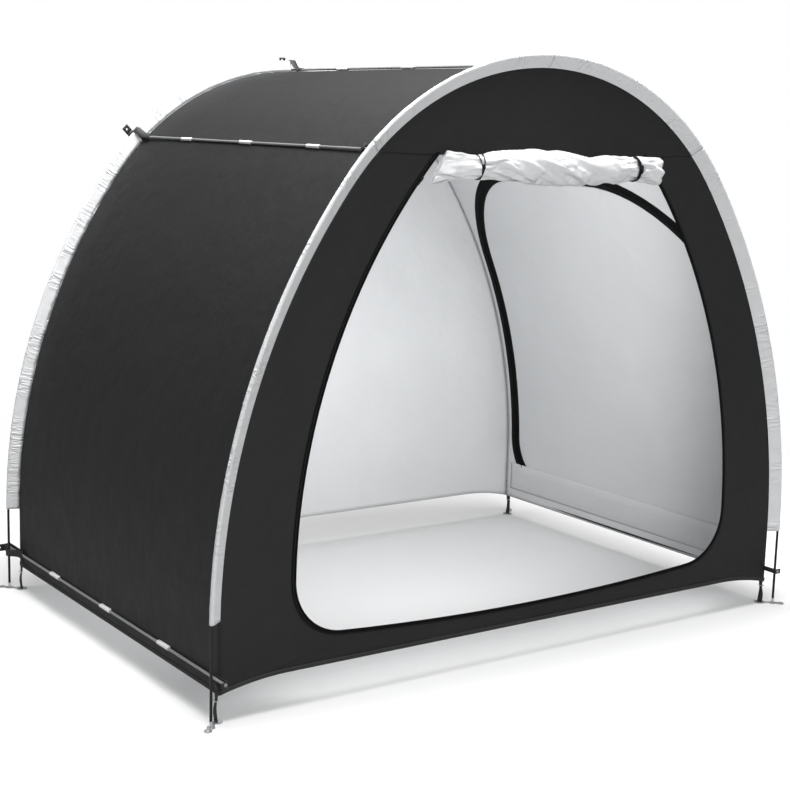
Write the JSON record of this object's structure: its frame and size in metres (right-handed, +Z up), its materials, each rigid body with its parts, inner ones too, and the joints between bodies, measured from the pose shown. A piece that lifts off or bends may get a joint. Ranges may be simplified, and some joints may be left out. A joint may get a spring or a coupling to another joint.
{
  "type": "bike shelter",
  "caption": "Cloth tent for storing bikes: an arched canopy on two hoop poles with straight spreader rods, an open arched doorway under its rolled-up door, and a zipped side door.",
  "frame": {"origin": "on the ground, midway between the four feet", "axes": "+X across the doorway to the right seen from the front, +Y from the front to the rear, +Z up"},
  "size_m": [2.055, 1.4701, 1.6555],
  "materials": {
    "pole": "glossy black fibreglass tube",
    "rod": "grey fibreglass rod",
    "webbing": "black woven webbing",
    "link": "zinc plated steel",
    "cloth": "charcoal coated polyester, silver inside",
    "sleeve": "silver white coated polyester",
    "zip": "black zip tape",
    "door_lining": "silver white side of the rolled door",
    "loop": "white tape"
  },
  "bodies": {
    "root": {"front_hoop_pole": "pole", "rear_hoop_pole": "pole", "ridge_rod": "rod", "upper_left_rod": "rod", "upper_right_rod": "rod", "lower_left_rod": "rod", "lower_right_rod": "rod", "front_rod_tabs": "webbing", "rear_rod_tabs": "webbing", "front_left_strap": "webbing", "front_right_strap": "webbing", "rear_left_strap": "webbing", "rear_right_strap": "webbing", "front_door_ties": "webbing", "front_left_foot": "link", "front_right_foot": "link", "rear_left_foot": "link", "rear_right_foot": "link", "left_side_sheet": "cloth", "roof_sheet": "cloth", "right_side_sheet": "cloth", "right_side_door": "cloth", "front_gable": "cloth", "front_left_jamb": "cloth", "front_right_jamb": "cloth", "front_sill": "cloth", "rear_gable": "cloth", "rear_wall": "cloth", "front_left_sleeve": "sleeve", "front_right_sleeve": "sleeve", "front_crown_left_sleeve": "sleeve", "front_crown_right_sleeve": "sleeve", "rear_left_sleeve": "sleeve", "rear_right_sleeve": "sleeve", "rear_crown_left_sleeve": "sleeve", "rear_crown_right_sleeve": "sleeve", "front_zip": "zip", "right_side_zip": "zip", "front_door_roll": "door_lining", "ridge_loops": "loop", "upper_left_loops": "loop", "upper_right_loops": "loop", "lower_left_loops": "loop", "lower_right_loops": "loop"}
  },
  "joints": []
}
